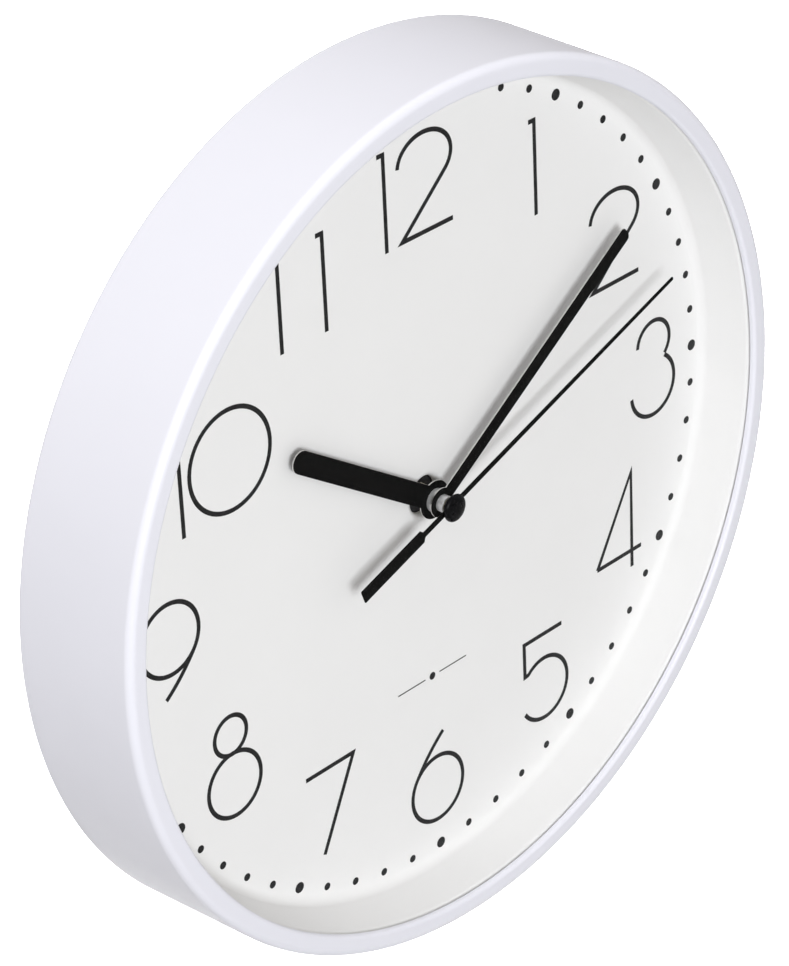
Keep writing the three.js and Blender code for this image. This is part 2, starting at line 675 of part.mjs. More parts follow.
function stator() {
  const shape = polygon([
    [-22, 3.9],
    [-9.4, 3.9],
    [-9.4, 10.9],
    [17, 10.9],
    [17, 24.6],
    [12, 24.6],
    [12, 14.1],
    [-17, 14.1],
    [-17, 24.6],
    [-22, 24.6],
  ]);
  return cut(
    plate(shape, STATOR.front, STATOR.rear),
    through(STATOR.bore, 32, rotorX, rotorZ),
    ...STATOR_SCREWS.map(([x, z]) => through(STATOR_SCREW.hole, 12, x, z)),
  );
}

const COIL = { left: -14, right: 9, y: -9.4, z: 22.4, flange: 7.6, flangeThickness: 1 };
const COIL_CORE = { left: -22, right: 17, depth: 1, height: 3 };
const COIL_TUBE = { depth: 2.4, height: 4.4, wall: 0.45 };
const WINDING = { size: 6.8, corner: 2.4, clearance: 0.2 };

// A square block about the coil's axis, from one place along it to another.
function coilBlock(from, to, depth, height) {
  return block(
    [from, COIL.y - depth / 2, COIL.z - height / 2],
    [to, COIL.y + depth / 2, COIL.z + height / 2],
  );
}

function coilCore() {
  return cut(
    coilBlock(COIL_CORE.left, COIL_CORE.right, COIL_CORE.depth, COIL_CORE.height),
    ...STATOR_SCREWS.map(([x, z]) => through(STATOR_SCREW.hole, 12, x, z)),
  );
}

function coilBobbin() {
  const { left, right, flange, flangeThickness } = COIL;
  const { depth, height, wall } = COIL_TUBE;
  return cut(
    join(
      coilBlock(left, left + flangeThickness, flange, flange),
      coilBlock(right - flangeThickness, right, flange, flange),
      coilBlock(left, right, depth, height),
    ),
    coilBlock(left - 1, right + 1, depth - 2 * wall, height - 2 * wall),
  );
}

// The winding bulges a little on all four sides between the flanges.
function coilWinding() {
  const { size, corner, clearance } = WINDING;
  const start = COIL.left + COIL.flangeThickness + clearance;
  const depth = COIL.right - COIL.flangeThickness - clearance - start;
  const shape = roundedSquare(size, corner);
  const geometry = new THREE.ExtrudeGeometry(shape, { depth, bevelEnabled: false, curveSegments: 6 });
  geometry.rotateY(Math.PI / 2).translate(start, COIL.y, COIL.z);
  const inside = 2 * clearance;
  return cut(
    solid(geometry),
    coilBlock(COIL.left, COIL.right, COIL_TUBE.depth + inside, COIL_TUBE.height + inside),
  );
}

function circuitBoard() {
  return block([BOARD.left, BOARD.front, BOARD.low], [BOARD.right, BOARD.rear, BOARD.high]);
}

// A low dome of resin over the chip.
function chipCover() {
  const { radius, height } = CHIP;
  const blob = solid(new THREE.SphereGeometry(radius, 20, 10).scale(1, height / radius, 1));
  return blob.intersect(block([-radius, 0, -radius], [radius, radius, radius]));
}

function crystalCan() {
  const { radius, length } = CRYSTAL;
  return solid(new THREE.CylinderGeometry(radius, radius, length, 16).rotateX(Math.PI / 2));
}

// A plate at the battery's tip, with a strip along the front wall to the circuit board.
function contactPositive() {
  const { x, thickness, front, rear, low } = CONTACT;
  const stripLow = CONTACT_STRIP.z - thickness;
  return join(
    block([x, front, low], [x + thickness, rear, CONTACT_STRIP.z]),
    block([CONTACT_STRIP.left, CONTACT_STRIP.front, stripLow], [x + thickness, front + 0.1, CONTACT_STRIP.z]),
    block([-18.4, -14.4, stripLow], [-17.2, -14.4 + thickness, CONTACT_STRIP.top]),
  );
}

// The plate carries a conical spring, closed here to its outer shape.
function contactNegative() {
  const { x, thickness, front, rear, low, top } = CONTACT;
  const { base, tip, length } = CONTACT_SPRING;
  const spring = new THREE.CylinderGeometry(base, tip, length, 20).rotateZ(Math.PI / 2);
  spring.translate(length / 2 - x - 0.1, BATTERY_Y, BATTERY_Z);
  return join(block([-x - thickness, front, low], [-x, rear, top]), solid(spring));
}

function battery() {
  const geometry = new THREE.CylinderGeometry(BATTERY_RADIUS, BATTERY_RADIUS, BATTERY_LENGTH, 32);
  geometry.rotateZ(Math.PI / 2).translate(BATTERY_X + BATTERY_LENGTH / 2, BATTERY_Y, BATTERY_Z);
  return solid(geometry);
}

function batteryTerminal() {
  const { radius, height, x } = TERMINAL;
  const geometry = new THREE.CylinderGeometry(radius, radius, height, 24);
  return solid(geometry.rotateZ(Math.PI / 2).translate(x + height / 2, BATTERY_Y, BATTERY_Z));
}

// ---- Hands: each points to 12 and is turned to its time ----

function handPlate(shape, hub, bore, height, thickness) {
  const front = DIAL_Y - height - thickness;
  const rear = DIAL_Y - height;
  const blank = join(plate(shape, front, rear, 10), rod(hub, front, rear, 40));
  return cut(blank, through(bore, 24));
}

function hourHand() {
  const half = HOUR_WIDTH / 2;
  const shape = new THREE.Shape();
  shape.moveTo(-half, 0);
  shape.lineTo(half, 0);
  shape.lineTo(half, HOUR_LENGTH - half);
  shape.absarc(0, HOUR_LENGTH - half, half, 0, Math.PI);
  shape.closePath();
  return handPlate(shape, HOUR_HUB, HOUR_COLLET.inner, HOUR_HEIGHT, HAND_THICKNESS);
}

function minuteHand() {
  const root = MINUTE_ROOT_WIDTH / 2;
  const tip = MINUTE_TIP_WIDTH / 2;
  const end = MINUTE_LENGTH - MINUTE_TIP_ROUND;
  const side = tip - MINUTE_TIP_ROUND;
  const shape = new THREE.Shape();
  shape.moveTo(-root, 0);
  shape.lineTo(root, 0);
  shape.lineTo(tip, end);
  shape.absarc(side, end, MINUTE_TIP_ROUND, 0, Math.PI / 2);
  shape.absarc(-side, end, MINUTE_TIP_ROUND, Math.PI / 2, Math.PI);
  shape.closePath();
  return handPlate(shape, MINUTE_HUB, MINUTE_COLLET.inner, MINUTE_HEIGHT, HAND_THICKNESS);
}

function secondHand() {
  const root = SECOND_ROOT_WIDTH / 2;
  const tip = SECOND_TIP_WIDTH / 2;
  const tail = TAIL_WIDTH / 2;
  const shape = polygon([
    [root, -TAIL_START],
    [tip, SECOND_LENGTH],
    [-tip, SECOND_LENGTH],
    [-root, -TAIL_START],
    [-tail, -TAIL_START - TAIL_SHOULDER],
    [-tail, -TAIL_LENGTH],
    [tail, -TAIL_LENGTH],
    [tail, -TAIL_START - TAIL_SHOULDER],
  ]);
  return handPlate(shape, SECOND_HUB, SECOND_SOCKET.inner, SECOND_HEIGHT, SECOND_THICKNESS);
}

function secondCap() {
  const base = DIAL_Y - SECOND_HEIGHT - SECOND_THICKNESS - TOUCH;
  const front = base - CAP_HEIGHT;
  const outline = [
    [0, base],
    [CAP_RADIUS, base],
    ...arc(CAP_RADIUS - CAP_ROUND, front + CAP_ROUND + CAP_CROWN, CAP_ROUND, 0, -80, 4),
    [0, front],
  ];
  return turned(outline, 40);
}

function collet(sizes, height, reach) {
  const rear = DIAL_Y - height - HAND_THICKNESS - TOUCH;
  return tube(sizes.outer, sizes.inner, DIAL_Y - reach, rear, 32);
}

function secondSocket() {
  const rear = DIAL_Y - MINUTE_TUBE.reach - GAP;
  const front = DIAL_Y - SECOND_HEIGHT + TOUCH;
  return tube(SECOND_SOCKET.outer, SECOND_SOCKET.inner, front, rear, 24);
}

// ---- Assembly ----

const clock = new THREE.Group();

function add(group, name, made, material, x = 0, z = 0) {
  const mesh = new THREE.Mesh(geometryOf(made), material);
  mesh.name = name;
  mesh.position.set(x, 0, z);
  group.add(mesh);
  return mesh;
}

function addGroup(parent, degrees = 0) {
  const group = new THREE.Group();
  group.rotation.y = THREE.MathUtils.degToRad(degrees);
  parent.add(group);
  return group;
}

const housing = addGroup(clock);
add(housing, "case_ring", caseRing(), WHITE_SATIN());
add(housing, "lens", lens(), CLEAR_GLASS());
add(housing, "dial_pan", dialPan(), WHITE_MATT());

const movement = addGroup(clock);
add(movement, "movement_case", movementCase(), BLACK_PLASTIC());
add(movement, "movement_cover", movementCover(), BLACK_PLASTIC());
add(movement, "train_bridge", trainBridge(), NATURAL_PLASTIC());
COVER_SCREWS.forEach(([x, z], i) => {
  const mesh = add(movement, `cover_screw_${i + 1}`, screw(COVER_SCREW), BRIGHT_METAL(), x, z);
  mesh.position.y = COVER_SCREW.rear - COVER_SCREW.height;
});
STATOR_SCREWS.forEach(([x, z], i) => {
  const mesh = add(movement, `stator_screw_${i + 1}`, screw(STATOR_SCREW), BRIGHT_METAL(), x, z);
  mesh.position.y = STATOR_SCREW.rear - STATOR_SCREW.height;
});
add(movement, "stator", stator(), DARK_STEEL());
add(movement, "coil_core", coilCore(), DARK_STEEL());
add(movement, "coil_bobbin", coilBobbin(), NATURAL_PLASTIC());
add(movement, "coil_winding", coilWinding(), COPPER());
add(movement, "circuit_board", circuitBoard(), finish(0x2f6b45, 0.5));
add(movement, "quartz_crystal", crystalCan(), BRIGHT_METAL(), CRYSTAL.x, CRYSTAL.z).position.y = CRYSTAL.y;
add(movement, "chip_cover", chipCover(), BLACK_PLASTIC(), CHIP.x, CHIP.z).position.y = BOARD.rear + GAP;
add(movement, "contact_positive", contactPositive(), BRIGHT_METAL());
add(movement, "contact_negative", contactNegative(), BRIGHT_METAL());
add(movement, "battery", battery(), finish(0x3a3f45, 0.35));
add(movement, "battery_terminal", batteryTerminal(), BRIGHT_METAL());

const rotor = addGroup(clock);
rotor.position.set(rotorX, 0, rotorZ);
add(rotor, "rotor_shaft", rotorShaft(), NATURAL_PLASTIC());
const magnet = tube(MAGNET.outer, MAGNET.inner, MAGNET.front, MAGNET.rear, 24);
add(rotor, "rotor_magnet", magnet, DARK_STEEL());
add(clock, "intermediate_wheel", intermediateWheel(), NATURAL_PLASTIC(), intermediateX, intermediateZ);
add(clock, "third_wheel", thirdWheel(), NATURAL_PLASTIC(), thirdX, thirdZ);
add(clock, "centre_wheel", centreWheel(), NATURAL_PLASTIC());
add(clock, "clutch_spring", clutchSpring(), BRASS());

const secondTrain = addGroup(clock);
add(secondTrain, "second_wheel", secondWheel(), NATURAL_PLASTIC());
const secondTime = addGroup(secondTrain, SECOND_ANGLE);
add(secondTime, "second_hand", secondHand(), BLACK_LACQUER());
add(secondTime, "second_hand_socket", secondSocket(), BLACK_LACQUER());
add(secondTime, "second_hand_cap", secondCap(), BLACK_LACQUER());

const minuteTrain = addGroup(clock);
add(minuteTrain, "minute_pipe", minutePipe(), NATURAL_PLASTIC());
const minuteTime = addGroup(minuteTrain, MINUTE_ANGLE);
add(minuteTime, "minute_hand", minuteHand(), BLACK_LACQUER());
const minuteCollet = collet(MINUTE_COLLET, MINUTE_HEIGHT, MINUTE_TUBE.reach);
add(minuteTime, "minute_hand_collet", minuteCollet, BRIGHT_METAL());

const hourTrain = addGroup(clock);
add(hourTrain, "hour_wheel", hourWheel(), NATURAL_PLASTIC());
const hourTime = addGroup(hourTrain, HOUR_ANGLE);
add(hourTime, "hour_hand", hourHand(), BLACK_LACQUER());
const hourCollet = collet(HOUR_COLLET, HOUR_HEIGHT, HOUR_TUBE.reach);
add(hourTime, "hour_hand_collet", hourCollet, BRIGHT_METAL());

const setting = addGroup(clock);
setting.position.x = SETTING_DISTANCE;
add(setting, "minute_work_wheel", minuteWorkWheel(), NATURAL_PLASTIC());
add(setting, "setting_knob", settingKnob(), BLACK_PLASTIC());

export default clock;
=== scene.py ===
"""A round quartz wall clock, 220 mm across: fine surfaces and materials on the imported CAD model."""

import json
import math

import bmesh
import bpy
from mathutils import Matrix, Vector


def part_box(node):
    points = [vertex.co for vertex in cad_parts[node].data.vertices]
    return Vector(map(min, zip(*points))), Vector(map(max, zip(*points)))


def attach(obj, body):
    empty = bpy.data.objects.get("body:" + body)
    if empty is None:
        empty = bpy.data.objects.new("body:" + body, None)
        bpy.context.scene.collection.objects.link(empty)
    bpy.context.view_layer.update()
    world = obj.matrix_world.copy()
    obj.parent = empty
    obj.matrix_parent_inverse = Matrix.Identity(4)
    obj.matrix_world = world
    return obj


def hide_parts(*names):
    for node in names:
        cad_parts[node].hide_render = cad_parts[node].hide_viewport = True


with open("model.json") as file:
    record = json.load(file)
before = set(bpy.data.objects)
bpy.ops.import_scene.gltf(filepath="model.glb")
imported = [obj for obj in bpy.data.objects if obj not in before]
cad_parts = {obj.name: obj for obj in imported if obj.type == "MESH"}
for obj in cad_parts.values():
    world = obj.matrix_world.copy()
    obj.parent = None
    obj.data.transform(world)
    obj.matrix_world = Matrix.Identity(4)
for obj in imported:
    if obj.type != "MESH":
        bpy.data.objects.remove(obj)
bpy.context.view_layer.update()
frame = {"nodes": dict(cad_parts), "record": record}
NODES = frame["nodes"]

MM = 0.001

# ---- Sizes in millimetres: the CAD model's, but where a comment says otherwise ----

CASE_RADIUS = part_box("case_ring")[1].x / MM
CASE_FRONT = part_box("case_ring")[0].y / MM
LENS_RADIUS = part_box("lens")[1].x / MM
PAN_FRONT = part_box("dial_pan")[0].y / MM
PAN_FLANGE_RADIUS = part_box("dial_pan")[1].x / MM
CASE_FRONT_RADIUS = 109.2
CASE_WALL = 2.2
EDGE_ROUND = 2.0
LIP_RADIUS = 103.8  # 0.3 less than in the CAD model, so that the lip hides the pan's edge
LIP_ROUND = 0.9
LIP_THICKNESS = 1.5
DIAL_Y = -18.8
DIAL_BACK = -16.5
DIAL_RADIUS = 101.8
DIAL_FILLET = 2.5
PAN_FRONT_RADIUS = 103.7
PAN_WALL = 1.8
PAN_DRAFT = 0.6
PAN_SEAT_RADIUS = 106.7
PAN_SEAT_THICKNESS = 1.2
PAN_FLANGE_Y = -12.0
PAN_FLANGE_THICKNESS = 1.5
PAN_RIM_ROUND = 1.6  # sharp in the CAD model
CONTACT = 0.05  # what is left of the CAD model's clearance where real pieces touch
LENS_THICKNESS = 0.4  # thinner than the CAD model's sheet, since the render doesn't bend light
LENS_FRONT = CASE_FRONT + LIP_THICKNESS + CONTACT
LENS_BACK = LENS_FRONT + LENS_THICKNESS
CENTRE_HOLE_RADIUS = 4.75
CENTRE_FLARE = 1.6

HOUR_ANGLE = 303.7
MINUTE_ANGLE = 57.0
SECOND_ANGLE = 71.2


# ---- Node materials ----

NOISE_LOW, NOISE_HIGH = 0.3, 0.7  # the part of a noise field's range that most of it lies in


class Shader:
    """Builds one material's nodes: a Principled shader, with helpers that add inputs to it."""

    def __init__(self, name, color, roughness, metallic=0.0, specular=0.5):
        self.material = bpy.data.materials.new(name)
        self.material.use_nodes = True
        self.tree = self.material.node_tree
        self.nodes = self.tree.nodes
        self.principled = self.nodes["Principled BSDF"]
        self.output = self.nodes["Material Output"]
        self.principled.inputs["Base Color"].default_value = (*color, 1)
        self.principled.inputs["Roughness"].default_value = roughness
        self.principled.inputs["Metallic"].default_value = metallic
        self.principled.inputs["Specular IOR Level"].default_value = specular
        self.coordinates = self.nodes.new("ShaderNodeTexCoord").outputs["Object"]

    def link(self, a, b):
        self.tree.links.new(a, b)

    def noise(self, size_mm, detail, stretch=(1, 1, 1)):
        """A noise field whose features are about size_mm across, less along a larger stretch."""
        mapping = self.nodes.new("ShaderNodeMapping")
        mapping.inputs["Scale"].default_value = stretch
        self.link(self.coordinates, mapping.inputs["Vector"])
        noise = self.nodes.new("ShaderNodeTexNoise")
        noise.inputs["Scale"].default_value = 1 / (size_mm * MM)
        noise.inputs["Detail"].default_value = detail
        self.link(mapping.outputs["Vector"], noise.inputs["Vector"])
        return noise.outputs["Fac"]

    def tint(self, field, low, high):
        """Base colour from low to high along the field."""
        ramp = self.nodes.new("ShaderNodeValToRGB")
        ramp.color_ramp.elements[0].position = NOISE_LOW
        ramp.color_ramp.elements[1].position = NOISE_HIGH
        ramp.color_ramp.elements[0].color = (*low, 1)
        ramp.color_ramp.elements[1].color = (*high, 1)
        self.link(field, ramp.inputs["Fac"])
        self.link(ramp.outputs["Color"], self.principled.inputs["Base Color"])

    def vary_roughness(self, field, low, high):
        """Roughness from low to high along the field."""
        node = self.nodes.new("ShaderNodeMapRange")
        node.inputs["From Min"].default_value = NOISE_LOW
        node.inputs["From Max"].default_value = NOISE_HIGH
        node.inputs["To Min"].default_value = low
        node.inputs["To Max"].default_value = high
        self.link(field, node.inputs["Value"])
        self.link(node.outputs["Result"], self.principled.inputs["Roughness"])

    def bump(self, field, height_mm):
        node = self.nodes.new("ShaderNodeBump")
        node.inputs["Strength"].default_value = 1.0
        node.inputs["Distance"].default_value = height_mm * MM
        self.link(field, node.inputs["Height"])
        self.link(node.outputs["Normal"], self.principled.inputs["Normal"])


def scaled(color, factor):
    return tuple(channel * factor for channel in color)


def moulded_plastic(name, color, roughness, grain_mm, grain_height, variation, specular=0.5):
    """Injection-moulded plastic: a fine spark-eroded grain, and slow changes in shade and gloss."""
    shader = Shader(name, color, roughness, specular=specular)
    shader.tint(shader.noise(size_mm=25, detail=2), scaled(color, 1 - variation), color)
    shader.vary_roughness(shader.noise(size_mm=9, detail=3), roughness - 0.04, roughness + 0.04)
    shader.bump(shader.noise(size_mm=grain_mm, detail=2), height_mm=grain_height)
    return shader.material


def brushed_metal(name, color, roughness, stretch, metallic=1.0):
    """Metal with fine tool marks that run along the direction where stretch is small."""
    shader = Shader(name, color, roughness, metallic=metallic)
    lines = shader.noise(size_mm=0.25, detail=4, stretch=stretch)
    shader.tint(shader.noise(size_mm=1.5, detail=3), scaled(color, 0.9), color)
    shader.vary_roughness(lines, roughness - 0.07, roughness + 0.1)
    shader.bump(lines, height_mm=0.004)
    return shader.material


def lacquer(name, color, roughness, specular):
    """Sprayed lacquer, with a faint orange peel."""
    shader = Shader(name, color, roughness, specular=specular)
    shader.tint(shader.noise(size_mm=3, detail=3), scaled(color, 0.8), color)
    shader.vary_roughness(shader.noise(size_mm=1.2, detail=3), roughness - 0.05, roughness + 0.08)
    shader.bump(shader.noise(size_mm=0.35, detail=2), height_mm=0.003)
    return shader.material


def printed_ink(name, color):
    """Screen-printed ink: almost even, with a slightly mottled film."""
    shader = Shader(name, color, 0.5, specular=0.25)
    shader.tint(shader.noise(size_mm=0.6, detail=4), scaled(color, 0.75), color)
    shader.bump(shader.noise(size_mm=0.15, detail=2), height_mm=0.002)
    return shader.material


def clear_lens(name):
    """A clear sheet: it lets almost all light through, and reflects more at a grazing angle."""
    polish, falloff = 0.04, 8
    shader = Shader(name, (1, 1, 1), polish)
    clear = shader.nodes.new("ShaderNodeBsdfTransparent")
    gloss = shader.nodes.new("ShaderNodeBsdfGlossy")
    gloss.inputs["Roughness"].default_value = polish
    weight = shader.nodes.new("ShaderNodeLayerWeight")
    steep = shader.nodes.new("ShaderNodeMath")
    steep.operation = "POWER"
    steep.inputs[1].default_value = falloff
    shader.link(weight.outputs["Facing"], steep.inputs[0])
    mix = shader.nodes.new("ShaderNodeMixShader")
    shader.link(steep.outputs["Value"], mix.inputs["Fac"])
    shader.link(clear.outputs["BSDF"], mix.inputs[1])
    shader.link(gloss.outputs["BSDF"], mix.inputs[2])
    shader.link(mix.outputs["Shader"], shader.output.inputs["Surface"])
    return shader.material


# Plastics: name, colour, roughness, grain size and height in mm, variation, specular.
CASE_COLOR, PAN_COLOR = (0.815, 0.815, 0.883), (0.875, 0.872, 0.87)
CASE_WHITE = moulded_plastic("case_white_satin", CASE_COLOR, 0.42, 0.5, 0.004, 0.012, 0.4)
PAN_WHITE = moulded_plastic("pan_white_matt", PAN_COLOR, 0.6, 0.4, 0.004, 0.012, 0.4)
SHELL_BLACK = moulded_plastic("movement_black", (0.018, 0.018, 0.02), 0.45, 0.35, 0.02, 0.2, 0.35)
NATURAL = moulded_plastic("acetal_natural", (0.62, 0.58, 0.47), 0.45, 0.5, 0.004, 0.05)
BOARD = moulded_plastic("board_green", (0.03, 0.11, 0.045), 0.3, 0.6, 0.004, 0.2)
CELL = moulded_plastic("cell_sleeve", (0.10, 0.15, 0.17), 0.3, 1.2, 0.002, 0.15)
CELL_BAND = moulded_plastic("cell_band", (0.55, 0.56, 0.55), 0.3, 1.2, 0.002, 0.08)

# Metals: name, colour, roughness, stretch, metallic.
HAND_EDGE = brushed_metal("hand_cut_edge", (0.75, 0.74, 0.72), 0.35, (1, 1, 1))
COLLET_METAL = brushed_metal("collet_nickel", (0.86, 0.86, 0.87), 0.5, (1, 6, 1), 0.75)
STEEL = brushed_metal("plated_steel", (0.62, 0.63, 0.65), 0.3, (1, 1, 8))
CORE_STEEL = brushed_metal("annealed_sheet", (0.30, 0.31, 0.33), 0.42, (1, 8, 1))
MAGNET = brushed_metal("sintered_magnet", (0.12, 0.12, 0.13), 0.5, (1, 1, 1))
SPRING_BRASS = brushed_metal("spring_brass", (0.72, 0.52, 0.22), 0.3, (8, 1, 1))
COPPER = brushed_metal("enamelled_wire", (0.55, 0.22, 0.09), 0.3, (12, 0.4, 0.4))

# Lacquers: name, colour, roughness, specular.
HAND_BLACK = lacquer("hand_black_lacquer", (0.005, 0.005, 0.005), 0.5, 0.06)
CAP_BLACK = lacquer("cap_black_gloss", (0.004, 0.004, 0.005), 0.3, 0.1)
RESIN = lacquer("resin_black", (0.01, 0.01, 0.01), 0.25, 0.5)

INK = printed_ink("dial_ink", (0.014, 0.014, 0.015))
LENS_CLEAR = clear_lens("lens_clear")


# ---- Mesh building: a piece is a pair of vertices and faces, in millimetres ----


def placed(name, mesh, smooth, body, replaced):
    """A mesh in the scene, smooth but for edges sharper than smooth degrees, on a CAD body."""
    mesh.shade_smooth()
    mesh.set_sharp_from_angle(angle=math.radians(smooth))
    item = bpy.data.objects.new(name, mesh)
    bpy.context.scene.collection.objects.link(item)
    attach(item, body)
    if replaced:
        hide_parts(*replaced)


def shape(name, piece, material, body, smooth=30, replaces=(), edge_material=None):
    """A new mesh object. An edge material covers the faces that don't look along Y."""
    vertices, faces = piece
    mesh = bpy.data.meshes.new(name)
    mesh.from_pydata([Vector(v) * MM for v in vertices], [], faces)
    mesh.update()
    made = bmesh.new()
    made.from_mesh(mesh)
    bmesh.ops.remove_doubles(made, verts=made.verts, dist=1e-7)
    bmesh.ops.recalc_face_normals(made, faces=made.faces)
    made.to_mesh(mesh)
    made.free()
    mesh.materials.append(material)
    if edge_material:
        mesh.materials.append(edge_material)
        for polygon in mesh.polygons:
            polygon.material_index = 0 if abs(polygon.normal.y) > 0.5 else 1
    placed(name, mesh, smooth, body, replaces)


def joined(pieces):
    """Several pieces as one."""
    vertices, faces = [], []
    for piece_vertices, piece_faces in pieces:
        faces += [[len(vertices) + corner for corner in face] for face in piece_faces]
        vertices += piece_vertices
    return vertices, faces


HOLD = 0.35  # distance from a corner to the loop that keeps the shading of the flat beyond it even
LONG_STRAIGHT = 6 * HOLD


def held(outline):
    """The closed outline with a point near each end of every long straight."""
    points = []
    for i, point in enumerate(outline):
        points.append(point)
        start = Vector(point)
        along = Vector(outline[(i + 1) % len(outline)]) - start
        if along.length > LONG_STRAIGHT:
            step = along.normalized() * HOLD
            points += [tuple(start + step), tuple(start + along - step)]
    return points


def revolved(outline, steps):
    """A body of revolution about the Y axis, from a closed outline of (radius, y)."""
    vertices = []
    rings = []
    for radius, y in held(outline):
        count = steps if radius > 1e-6 else 1
        rings.append((len(vertices), count))
        for i in range(count):
            angle = 2 * math.pi * i / steps
            vertices.append((radius * math.sin(angle), y, radius * math.cos(angle)))
    faces = []
    for k, (start, count) in enumerate(rings):
        after, after_count = rings[(k + 1) % len(rings)]
        if count == 1 and after_count == 1:
            continue
        for i in range(steps):
            j = (i + 1) % steps
            near = [start + i % count, start + j % count]
            far = [after + j % after_count, after + i % after_count]
            faces.append(list(dict.fromkeys(near + far)))
    return vertices, faces


def ellipse(cx, cz, rx, rz, start, end, steps=40):
    """Points on an ellipse from one angle to another, in degrees."""
    points = []
    for i in range(steps + 1):
        angle = math.radians(start + (end - start) * i / steps)
        points.append((cx + rx * math.cos(angle), cz + rz * math.sin(angle)))
    return points


def arc(cx, cz, radius, start, end, steps):
    return ellipse(cx, cz, radius, radius, start, end, steps)


def circle(cx, cz, radius, corners):
    """A closed ring: its last point lies one step before its first."""
    return arc(cx, cz, radius, 0, 360 - 360 / corners, corners - 1)


def extruded(outline, front, rear, bevel=0.0):
    """A plate between two places along Y, from an outline of (x, z), its edges bevelled."""
    count = len(outline)
    inner = inset(outline, bevel) if bevel else outline
    layers = [(inner, front)]
    if bevel:
        layers += [(outline, front + bevel), (outline, rear - bevel)]
    layers.append((inner, rear))
    vertices = [(x, y, z) for ring, y in layers for x, z in ring]
    last = (len(layers) - 1) * count
    faces = [list(range(count)), list(range(last, last + count))[::-1]]
    for k in range(len(layers) - 1):
        for i in range(count):
            j = (i + 1) % count
            here, beyond = k * count, (k + 1) * count
            faces.append([here + i, beyond + i, beyond + j, here + j])
    return vertices, faces


# The least cosine between a corner's bisector and its sides' normals: it limits sharp corners.
PLATE_MITRE = 0.4
STROKE_MITRE = 0.35


def inset(outline, distance):
    """The outline moved inwards by a distance at each corner."""
    following = outline[1:] + outline[:1]
    area = sum(x0 * z1 - x1 * z0 for (x0, z0), (x1, z1) in zip(outline, following))
    side = 1 if area > 0 else -1
    moved = []
    for i, point in enumerate(outline):
        before = Vector(outline[i - 1])
        here = Vector(point)
        after = Vector(outline[(i + 1) % len(outline)])
        a = (here - before).normalized()
        b = (after - here).normalized()
        normal_a = Vector((-a.y, a.x)) * side
        normal_b = Vector((-b.y, b.x)) * side
        bisector = (normal_a + normal_b).normalized()
        moved.append(tuple(here + bisector * distance / max(PLATE_MITRE, bisector.dot(normal_a))))
    return moved


def prism(section, half):
    """A block of constant section in (x, y) that reaches half either way along Z."""
    count = len(section)
    vertices = [(x, y, z) for z in (-half, half) for x, y in section]
    faces = [list(range(count)), list(range(count, 2 * count))]
    for i in range(count):
        j = (i + 1) % count
        faces.append([i, j, count + j, count + i])
    return vertices, faces


def repeated_round(piece, count):
    """Copies of a piece at equal angles about the Y axis, the first half a step from +X."""
    vertices, faces = piece
    copies = []
    for i in range(count):
        turn = Matrix.Rotation(2 * math.pi * (i + 0.5) / count, 3, "Y")
        copies.append(([tuple(turn @ Vector(v)) for v in vertices], faces))
    return joined(copies)


def turned_to(points, clock_degrees):
    """(x, z) points drawn towards 12, turned clockwise to a clock angle."""
    angle = math.radians(clock_degrees)
    sine, cosine = math.sin(angle), math.cos(angle)
    return [(x * cosine + z * sine, -x * sine + z * cosine) for x, z in points]


# ---- Case, lens and dial pan ----


def case_ring():
    rear_round, rear_corner = 0.4, 0.12
    lip_edge, relief = 0.02, 0.4
    inner_back = CASE_RADIUS - CASE_WALL
    inner_front = CASE_FRONT_RADIUS - CASE_WALL
    seat = CASE_FRONT + LIP_THICKNESS
    outline = [
        (CASE_RADIUS - rear_round, 0),
        (CASE_RADIUS - rear_corner, -rear_corner),
        (CASE_RADIUS, -rear_round),
    ]
    outline += arc(CASE_FRONT_RADIUS - EDGE_ROUND, CASE_FRONT + EDGE_ROUND, EDGE_ROUND, 0, -90, 12)
    outline += arc(LIP_RADIUS + LIP_ROUND, CASE_FRONT + LIP_ROUND, LIP_ROUND, -90, -180, 9)
    outline += [
        (LIP_RADIUS, seat - lip_edge),
        (LIP_RADIUS + lip_edge, seat),
        (inner_front - relief, seat),
        (inner_front, seat + relief),
        (inner_back, -relief),
        (inner_back + relief, 0),
    ]
    ring = revolved(outline, 360)
    shape("case_ring_skin", ring, CASE_WHITE, "clock", 40, ["case_ring"])
    case_snaps(inner_back)


def case_snaps(inner_back):
    """Eight wedges on the inside of the case, which hold the rear rim of the pan."""
    half, height, blunt = 5.0, 3.2, 0.25
    gap, overlap, root = 0.3, 0.5, 0.3
    front = PAN_FLANGE_Y + gap
    tip = PAN_FLANGE_RADIUS - overlap
    section = [
        (tip, front),
        (tip, front + blunt),
        (inner_back + root, front + height),
        (inner_back + root, front),
    ]
    snaps = repeated_round(prism(section, half), 8)
    shape("case_snaps", snaps, CASE_WHITE, "clock", 20, ["case_ring"])


def lens():
    edge = 0.15
    outline = [
        (0, LENS_FRONT),
        (LENS_RADIUS - edge, LENS_FRONT),
        (LENS_RADIUS, LENS_FRONT + edge),
        (LENS_RADIUS, LENS_BACK - edge),
        (LENS_RADIUS - edge, LENS_BACK),
        (0, LENS_BACK),
    ]
    shape("lens_sheet", revolved(outline, 240), LENS_CLEAR, "clock", 30, ["lens"])


